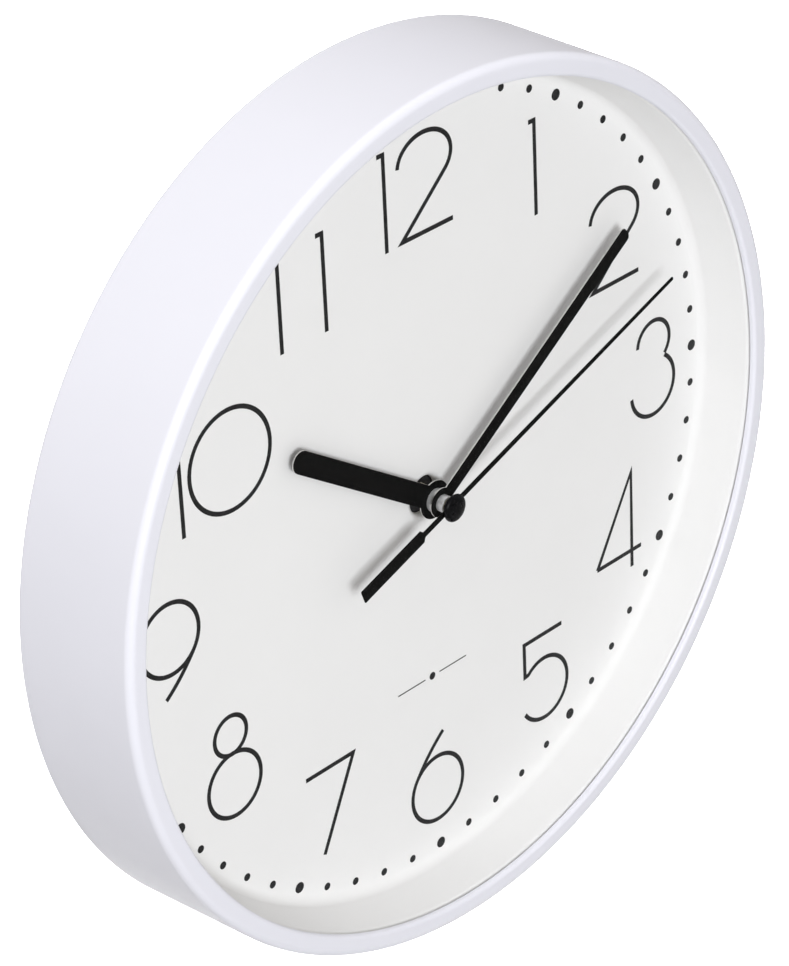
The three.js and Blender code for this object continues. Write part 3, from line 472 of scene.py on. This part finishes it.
def dial_pan():
    hollow_front, hollow_rear = DIAL_RADIUS + 0.2, DIAL_RADIUS + 0.8
    flat_loops = (70, 40, 20)  # radii of the loops that keep the dial's shading even
    flare_radius = CENTRE_HOLE_RADIUS + CENTRE_FLARE
    wall = PAN_FRONT_RADIUS + PAN_WALL
    front = LENS_BACK + CONTACT
    rim = PAN_RIM_ROUND
    flange_front = PAN_FLANGE_Y - PAN_FLANGE_THICKNESS
    seat_rear = PAN_FRONT + PAN_SEAT_THICKNESS
    outline = [
        (CENTRE_HOLE_RADIUS, DIAL_BACK),
        (hollow_front, DIAL_BACK),
        (hollow_rear, PAN_FLANGE_Y),
        (PAN_FLANGE_RADIUS, PAN_FLANGE_Y),
        (PAN_FLANGE_RADIUS, flange_front),
        (wall - PAN_DRAFT, flange_front),
        (wall, seat_rear),
        (PAN_SEAT_RADIUS, seat_rear),
        (PAN_SEAT_RADIUS, front),
    ]
    outline += arc(PAN_FRONT_RADIUS + rim, front + rim, rim, -90, -180, 5)
    outline += arc(DIAL_RADIUS - DIAL_FILLET, DIAL_Y - DIAL_FILLET, DIAL_FILLET, 0, 90, 14)
    outline += [(radius, DIAL_Y) for radius in flat_loops]
    outline += arc(flare_radius, DIAL_Y + CENTRE_FLARE, CENTRE_FLARE, -90, -180, 8)
    pan = revolved(outline, 240)
    shape("dial_pan_skin", pan, PAN_WHITE, "clock", 35, ["dial_pan"])
    pan_ribs()
    movement_hooks()


def pan_ribs():
    """Eight straight ribs that stiffen the back of the dial, their outer corners cut off."""
    near, far, half, cut = 46.0, 98.0, 0.6, 1
    height, embed = 2.5, 0.2
    top, root = DIAL_BACK + height, DIAL_BACK - embed
    section = [
        (near, root),
        (far, root),
        (far, top - cut),
        (far - cut, top),
        (near + cut, top),
        (near, top - cut),
    ]
    ribs = repeated_round(prism(section, half), 8)
    shape("dial_pan_ribs", ribs, PAN_WHITE, "clock", 20, ["dial_pan"])


# A hook's section: distance outwards from the movement's side, and y.
HOOK_SECTION = (
    (0, -16.7),
    (1.8, -16.7),
    (1.8, -8.2),
    (1.2, -7.6),
    (0.6, -7.6),
    (-0.7, -8.9),
    (-0.7, -9.7),
    (0, -9.7),
)


def movement_hooks():
    """Four sprung hooks behind the dial, which grip the sides of the movement."""
    gap, half, offset = 0.3, 3, 12
    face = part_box("movement_case")[1].x / MM + gap
    hooks = []
    for side in (-1, 1):
        for z in (-offset, offset):
            vertices, faces = prism([(side * (face + x), y) for x, y in HOOK_SECTION], half)
            hooks.append(([(x, y, z + dz) for x, y, dz in vertices], faces))
    shape("movement_hooks", joined(hooks), PAN_WHITE, "clock", 20, ["dial_pan"])


# ---- Printing on the dial ----

STROKE = 1.15
INK_FRONT = DIAL_Y - 0.035
INK_BACK = DIAL_Y + 0.05
INK_STEP = 0.008  # each further stroke of a numeral lies this much over the one before


def ribbon(path, width, closed=False):
    """A stroke of even width with square ends along an open path, or a ring along a closed one."""
    left, right = [], []
    count = len(path)
    for i, point in enumerate(path):
        here = Vector(point)
        before = Vector(path[i - 1]) if i or closed else here
        after = Vector(path[(i + 1) % count]) if i < count - 1 or closed else here
        a = (here - before).normalized() if before != here else (after - here).normalized()
        b = (after - here).normalized() if after != here else a
        normal_a, normal_b = Vector((-a.y, a.x)), Vector((-b.y, b.x))
        bisector = (normal_a + normal_b).normalized()
        reach = bisector * (width / 2 / max(STROKE_MITRE, bisector.dot(normal_a)))
        left.append(tuple(here + reach))
        right.append(tuple(here - reach))
    return left, right


def inked(strokes):
    """Thin raised strokes, each given as a path and whether it is closed."""
    pieces = []
    for order, (path, closed) in enumerate(strokes):
        left, right = ribbon(path, STROKE, closed)
        count = len(path)
        front, back = INK_FRONT - order * INK_STEP, INK_BACK + order * INK_STEP
        vertices, faces = [], []
        for ring, y in ((left, front), (right, front), (left, back), (right, back)):
            vertices += [(x, y, z) for x, z in ring]
        for i in range(count if closed else count - 1):
            j = (i + 1) % count
            for p, q in ((0, 1), (1, 3), (3, 2), (2, 0)):
                faces.append([p * count + i, p * count + j, q * count + j, q * count + i])
        if not closed:
            for i in (0, count - 1):
                faces.append([ring * count + i for ring in (0, 1, 3, 2)])
        pieces.append((vertices, faces))
    return joined(pieces)


def one(x, bottom):
    height, flag, drop = 24.6, 2.0, 0.6
    top = bottom + height
    return [([(x - flag, top - drop), (x, top - drop), (x, bottom)], False)]


def two(x, bottom):
    bowl = ellipse(x + 8.8, bottom + 17.7, 8.8, 6.8, 175, -41)
    return [(bowl + [(x + 0.6, bottom + 0.3), (x + 17.5, bottom + 0.3)], False)]


def three():
    upper = ellipse(82.9, 6.5, 6.05, 6.05, 176, -46)
    lower = ellipse(82.5, -5.1, 8.15, 8.15, 56, -174)
    return [(upper, False), (lower, False)]


def four():
    bar = [(60.4, -48.2), (77.3, -48.2)]
    return [(bar, False), ([(73.7, -52.9), (73.7, -25.8), (60.4, -48.2)], False)]


def five():
    bowl = ellipse(39.45, -72.15, 8.6, 8.6, 139, -148)
    return [([(46.4, -56.6), (32.4, -56.6), (32.4, -65.9)] + bowl[1:], False)]


def six():
    tail = ellipse(29.21, -102.13, 45, 45, 144.8, 126.6)
    return [(circle(-0.25, -81.35, 8.95, 60), True), (tail, False)]


def seven():
    return [([(-44.5, -56.7), (-28.5, -56.7), (-39.8, -79.9)], False)]


def eight():
    return [(circle(-67.2, -32.5, 5.05, 60), True), (circle(-66.9, -45.8, 8.35, 60), True)]


def nine():
    tail = ellipse(-112.1, 22.09, 45, 45, -36.7, -53.8)
    return [(circle(-83.2, 0.55, 8.95, 60), True), (tail, False)]


# The strokes of each numeral, in (x, z) on the dial.
NUMERALS = {
    1: one(41.0, 56.9),
    2: two(60.0, 28.4),
    3: three(),
    4: four(),
    5: five(),
    6: six(),
    7: seven(),
    8: eight(),
    9: nine(),
    10: one(-76.5, 23.2) + [(circle(-61.3, 36.1, 12.4, 60), True)],
    11: one(-43.5, 54.8) + one(-29.4, 54.8),
    12: one(-9.2, 66.2) + two(-4.8, 66.6),
}

DOT_RING = 97.57
DOT_CORNERS = 24
HOUR_DOT = 2.85 / 2
MINUTE_DOT = 2.0 / 2
DEGREES_PER_MINUTE = 6


def printing():
    for number, strokes in NUMERALS.items():
        shape(f"numeral_{number}", inked(strokes), INK, "clock")
    for name, minutes, radius in (
        ("hour_dots", [m for m in range(60) if m % 5 == 0], HOUR_DOT),
        ("minute_dots", [m for m in range(60) if m % 5], MINUTE_DOT),
    ):
        dots = []
        for minute in minutes:
            x, z = turned_to([(0, DOT_RING)], minute * DEGREES_PER_MINUTE)[0]
            dots.append(extruded(circle(x, z, radius, DOT_CORNERS), INK_FRONT, INK_BACK))
        shape(name, joined(dots), INK, "clock")
    ornament()


def ornament():
    """A plain rule with a dot between its halves, where such dials carry a caption."""
    low, high = -49.35, -49.05
    outlines = [
        [(left, low), (right, low), (right, high), (left, high)]
        for left, right in ((-12.5, -3), (2, 11.5))
    ]
    outlines.append(circle(-0.5, -49.2, 1.0, DOT_CORNERS))
    pieces = [extruded(outline, INK_FRONT, INK_BACK) for outline in outlines]
    shape("dial_ornament", joined(pieces), INK, "clock")


# ---- Hands ----


def hand(name, outline, hub, body, angle):
    """The outline runs from the blade's right root, round its tip, to its left root.

    The hub closes it. It has no bore: the tubes pass through it, hidden by the collet.
    """
    bevel = 0.05
    low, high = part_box(name)
    start = math.degrees(math.atan2(outline[-1][1], outline[-1][0]))
    end = math.degrees(math.atan2(outline[0][1], outline[0][0]))
    closing = arc(0, 0, hub, start, end + 360, 48)[1:-1]
    points = turned_to(outline + closing, angle)
    blade = extruded(points, low.y / MM, high.y / MM, bevel)
    shape(name + "_blade", blade, HAND_BLACK, body, 30, [name], HAND_EDGE)


def hour_hand():
    half, length, hub = 2.8, 53.5, 4.8
    root = math.sqrt(hub * hub - half * half)
    tip = arc(0, length - half, half, 0, 180, 24)
    hand("hour_hand", [(half, root)] + tip + [(-half, root)], hub, "hours", HOUR_ANGLE)


def minute_hand():
    root_half, tip_half, length, hub, corner = 1.8, 1.95, 80.7, 3.65, 1.2
    root = math.sqrt(hub * hub - root_half * root_half)
    right = arc(tip_half - corner, length - corner, corner, 0, 90, 8)
    left = arc(corner - tip_half, length - corner, corner, 90, 180, 8)
    outline = [(root_half, root)] + right + left + [(-root_half, root)]
    hand("minute_hand", outline, hub, "minutes", MINUTE_ANGLE)


def second_hand():
    low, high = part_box("second_hand")
    hub, length, bevel = 2.2, 85.4, 0.04
    root_half, tip_half, stem_half, tail_half = 0.72, 0.45, 0.75, 1.8
    neck, end, shoulder = 10.0, 32.2, 0.8
    corner, tip_corner = 0.15, 0.2
    root = math.sqrt(hub * hub - root_half * root_half)
    right = [(root_half, root), (tip_half, length - tip_corner), (tip_half - corner, length)]
    left = [(-x, z) for x, z in reversed(right)]
    hub_start = math.degrees(math.atan2(root, -root_half))
    hub_end = math.degrees(math.atan2(-root, -stem_half)) + 360
    left_hub = arc(0, 0, hub, hub_start, hub_end, 16)
    counterweight = [
        (-stem_half, -neck),
        (-tail_half, -neck - shoulder),
        (-tail_half, -end + corner),
        (-tail_half + corner, -end),
        (tail_half - corner, -end),
        (tail_half, -end + corner),
        (tail_half, -neck - shoulder),
        (stem_half, -neck),
    ]
    right_hub = [(-x, z) for x, z in reversed(left_hub)]
    outline = right + left + left_hub[1:] + counterweight + right_hub[:-1]
    needle = extruded(turned_to(outline, SECOND_ANGLE), low.y / MM, high.y / MM, bevel)
    shape("second_hand_needle", needle, HAND_BLACK, "seconds", 30, ["second_hand"])


def second_cap():
    low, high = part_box("second_hand_cap")
    radius, front, base = high.x / MM, low.y / MM, high.y / MM
    crown, edge = 0.25, 0.75
    foot, foot_corner, foot_height = 0.9, 0.25, 0.6
    dome_points = ((0.55, 0.35), (0.3, 0.1))  # as parts of the radius and of the crown
    outline = [
        (0, base),
        (radius - foot, base),
        (radius - foot_corner, base - foot_corner),
        (radius, base - foot_height),
    ]
    outline += arc(radius - edge, front + crown + edge, edge, 0, -70, 8)
    outline += [(radius * across, front + crown * down) for across, down in dome_points]
    outline.append((0, front))
    dome = revolved(outline, 64)
    shape("second_hand_cap_dome", dome, CAP_BLACK, "seconds", 50, ["second_hand_cap"])


def sleeve(name, node, body, bore, material, edge=0.12):
    """A turned tube from its bore's radius outwards, with small chamfers at its front end."""
    low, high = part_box(node)
    outer, front, rear = high.x / MM, low.y / MM, high.y / MM
    outline = [
        (outer - edge, front),
        (outer, front + edge),
        (outer, rear),
        (bore, rear),
        (bore, front + edge),
        (bore + edge, front),
    ]
    shape(name, revolved(outline, 64), material, body, 30, [node])


# ---- The movement ----

BODY_OF = {
    node: body
    for body, nodes in frame["record"]["behaviour"]["bodies"].items()
    for node in nodes
}
FLAT_ANGLE = math.radians(0.5)  # faces that turn less than this are one flat
SHARP_ANGLE = math.radians(35)  # edges that turn more than this are rounded


def refined(node, material, edge):
    """A CAD node's own shape, its sharp edges rounded by edge millimetres, its curves smooth."""
    made = bmesh.new()
    made.from_mesh(NODES[node].data)
    bmesh.ops.remove_doubles(made, verts=made.verts, dist=1e-6)
    bmesh.ops.dissolve_limit(made, angle_limit=FLAT_ANGLE, verts=made.verts, edges=made.edges)
    if edge:
        paired = [e for e in made.edges if len(e.link_faces) == 2]
        bmesh.ops.bevel(
            made,
            geom=[e for e in paired if e.calc_face_angle() > SHARP_ANGLE],
            offset=edge * MM,
            segments=2,
            profile=0.5,
            affect="EDGES",
            clamp_overlap=True,
        )
        bmesh.ops.dissolve_degenerate(made, dist=1e-6, edges=made.edges)
    bmesh.ops.triangulate(made, faces=[f for f in made.faces if len(f.verts) > 4])
    mesh = bpy.data.meshes.new(node + "_part")
    made.to_mesh(mesh)
    made.free()
    mesh.materials.append(material)
    placed(node + "_part", mesh, 30, BODY_OF[node], [node])


# Material, slot, edge round in millimetres, nodes.
LOOKS = (
    (SHELL_BLACK, "black_plastic", 0.25, ("movement_case", "movement_cover")),
    (SHELL_BLACK, "black_plastic", 0.06, ("setting_knob",)),
    (NATURAL, "natural", 0.1, ("train_bridge", "coil_bobbin")),
    (NATURAL, "natural", 0, ("rotor_shaft", "intermediate_wheel", "third_wheel")),
    (NATURAL, "natural", 0, ("centre_wheel", "second_wheel", "minute_pipe")),
    (NATURAL, "natural", 0, ("hour_wheel", "minute_work_wheel")),
    (STEEL, "steel", 0.06, ("cover_screw_1", "cover_screw_2", "cover_screw_3", "cover_screw_4")),
    (STEEL, "steel", 0.05, ("stator_screw_1", "stator_screw_2", "quartz_crystal")),
    (STEEL, "steel", 0.05, ("contact_positive", "contact_negative")),
    (CORE_STEEL, "core_steel", 0.04, ("stator", "coil_core")),
    (MAGNET, "magnet", 0.05, ("rotor_magnet",)),
    (SPRING_BRASS, "spring_brass", 0, ("clutch_spring",)),
    (COPPER, "copper", 0.2, ("coil_winding",)),
    (BOARD, "board", 0.05, ("circuit_board",)),
    (RESIN, "resin", 0.2, ("chip_cover",)),
)


def movement():
    for material, slot, edge, nodes in LOOKS:
        for node in nodes:
            refined(node, material, edge)
    battery()


def lying(outline, low, high, steps=64):
    """A body of revolution about the middle of a box along X, from (radius, x) points."""
    vertices, faces = revolved(outline, steps)
    y, z = (low.y + high.y) / 2 / MM, (low.z + high.z) / 2 / MM
    return [(along, y + across, z + up) for across, along, up in vertices], faces


def battery():
    """A cell in a sleeve turned in over both ends, with a plain band of a second colour."""
    low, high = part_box("battery")
    radius, flat, top = high.z / MM - (low.z + high.z) / 2 / MM, low.x / MM, high.x / MM
    turn, dish, rim, slope = 0.6, 0.25, 1.1, 0.3
    base_foot, base_flat, base_sunk = 1.8, 2, 0.05
    loop = 0.5  # how far inside its edge the flat between sleeve and band has a loop
    seam = top - 15.0
    rim_outer, rim_inner = radius - rim, radius - rim - slope
    body = [(0, flat + dish), (rim_inner, flat + dish), (rim_outer, flat)]
    body += arc(radius - turn, flat + turn, turn, -90, 0, 5)
    body += [(radius, seam), (radius - loop, seam), (0, seam)]
    shape("battery_sleeve", lying(body, low, high), CELL, "battery_cell", 35, ["battery"])
    base = [
        (0, flat + base_sunk),
        (radius - base_flat, flat + base_sunk),
        (radius - base_foot, flat + dish),
        (0, flat + dish),
    ]
    disc = lying(base, low, high, 48)
    shape("battery_base", disc, STEEL, "battery_cell", 35, ["battery"])
    tip = [(0, seam), (radius - loop, seam), (radius, seam)]
    tip += arc(radius - turn, top - turn, turn, 0, 90, 5)
    tip += [(rim_outer, top), (rim_inner, top - dish), (0, top - dish)]
    shape("battery_band", lying(tip, low, high), CELL_BAND, "battery_cell", 35, ["battery"])
    low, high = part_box("battery_terminal")
    radius, end = high.z / MM - (low.z + high.z) / 2 / MM, high.x / MM
    root, round_off = low.x / MM - dish, 0.4
    button = [(0, root), (radius, root)]
    button += arc(radius - round_off, end - round_off, round_off, 0, 90, 5) + [(0, end)]
    cap = lying(button, low, high, 48)
    shape("battery_button", cap, STEEL, "battery_cell", 35, ["battery_terminal"])


# ---- Floor, light and camera, in metres ----

FLOOR_HALF = 8.0
FLOOR_HEIGHT = -0.9
WORLD_COLOR = (1, 0.97, 0.94)
WORLD_STRENGTH = 0.475

# Name, place, target, size, power in watts, colour, spread in degrees.
LAMPS = (
    ("key", (-0.86, -1.50, 0.48), (0, 0, 0), 0.58, 18.9, (0.965, 0.985, 1), 180),
    ("top_right", (0.6, 0.1, 1.88), (0, 0, 0), 1.3, 9.4, (0.98, 0.99, 1), 180),
    ("top_left", (-1.30, -0.1, 1.36), (0, 0, 0), 1.3, 9.6, (0.98, 0.99, 1), 180),
    ("floor", (1.45, 1.4, 1.3), (1.45, 1.4, 0), 2.4, 95, (1, 1, 1), 60),
)


def studio():
    floor = bpy.data.meshes.new("floor")
    corners = [(-1, -1), (1, -1), (1, 1), (-1, 1)]
    points = [(x * FLOOR_HALF, y * FLOOR_HALF, FLOOR_HEIGHT) for x, y in corners]
    floor.from_pydata(points, [], [[0, 1, 2, 3]])
    item = bpy.data.objects.new("floor", floor)
    shader = Shader("floor_pale", (0.56, 0.56, 0.56), 0.8, specular=0.2)
    shader.tint(shader.noise(size_mm=300, detail=2), (0.55, 0.55, 0.55), (0.57, 0.57, 0.57))
    floor.materials.append(shader.material)
    bpy.context.scene.collection.objects.link(item)

    world = bpy.data.worlds.new("studio")
    world.use_nodes = True
    background = world.node_tree.nodes["Background"]
    background.inputs["Color"].default_value = (*WORLD_COLOR, 1)
    background.inputs["Strength"].default_value = WORLD_STRENGTH
    bpy.context.scene.world = world

    for lamp in LAMPS:
        light(*lamp)


def light(name, place, target, size, power, color, spread):
    """A round soft light that faces a target, its beam spread over an angle."""
    lamp = bpy.data.lights.new(name, "AREA")
    lamp.shape = "DISK"
    lamp.size = size
    lamp.energy = power
    lamp.color = color
    lamp.spread = math.radians(spread)
    item = bpy.data.objects.new(name, lamp)
    item.location = place
    item.rotation_euler = (Vector(target) - Vector(place)).to_track_quat("-Z", "Y").to_euler()
    bpy.context.scene.collection.objects.link(item)


CAMERA_PLACE = Vector((-560.09, -555.29, 438.69)) * MM
CAMERA_TARGET = Vector((-10.30, -18.80, 7.98)) * MM
CAMERA_ROLL = -2.739
CAMERA_LENS = 142.675
SENSOR_WIDTH = 36


def camera():
    data = bpy.data.cameras.new("camera")
    data.lens = CAMERA_LENS
    data.sensor_width = SENSOR_WIDTH
    item = bpy.data.objects.new("camera", data)
    aim = (CAMERA_TARGET - CAMERA_PLACE).to_track_quat("-Z", "Y").to_matrix().to_4x4()
    roll = Matrix.Rotation(math.radians(CAMERA_ROLL), 4, "Z")
    item.matrix_world = Matrix.Translation(CAMERA_PLACE) @ aim @ roll
    bpy.context.scene.collection.objects.link(item)
    bpy.context.scene.camera = item


case_ring()
lens()
dial_pan()
printing()
hour_hand()
minute_hand()
second_hand()
second_cap()
sleeve("hour_collet", "hour_hand_collet", "hours", 2.6, COLLET_METAL)
sleeve("minute_collet", "minute_hand_collet", "minutes", 1.7, COLLET_METAL)
sleeve("second_socket", "second_hand_socket", "seconds", 0.6, CAP_BLACK, edge=0.05)
movement()
studio()
camera()
bpy.context.scene.view_settings.view_transform = "Standard"
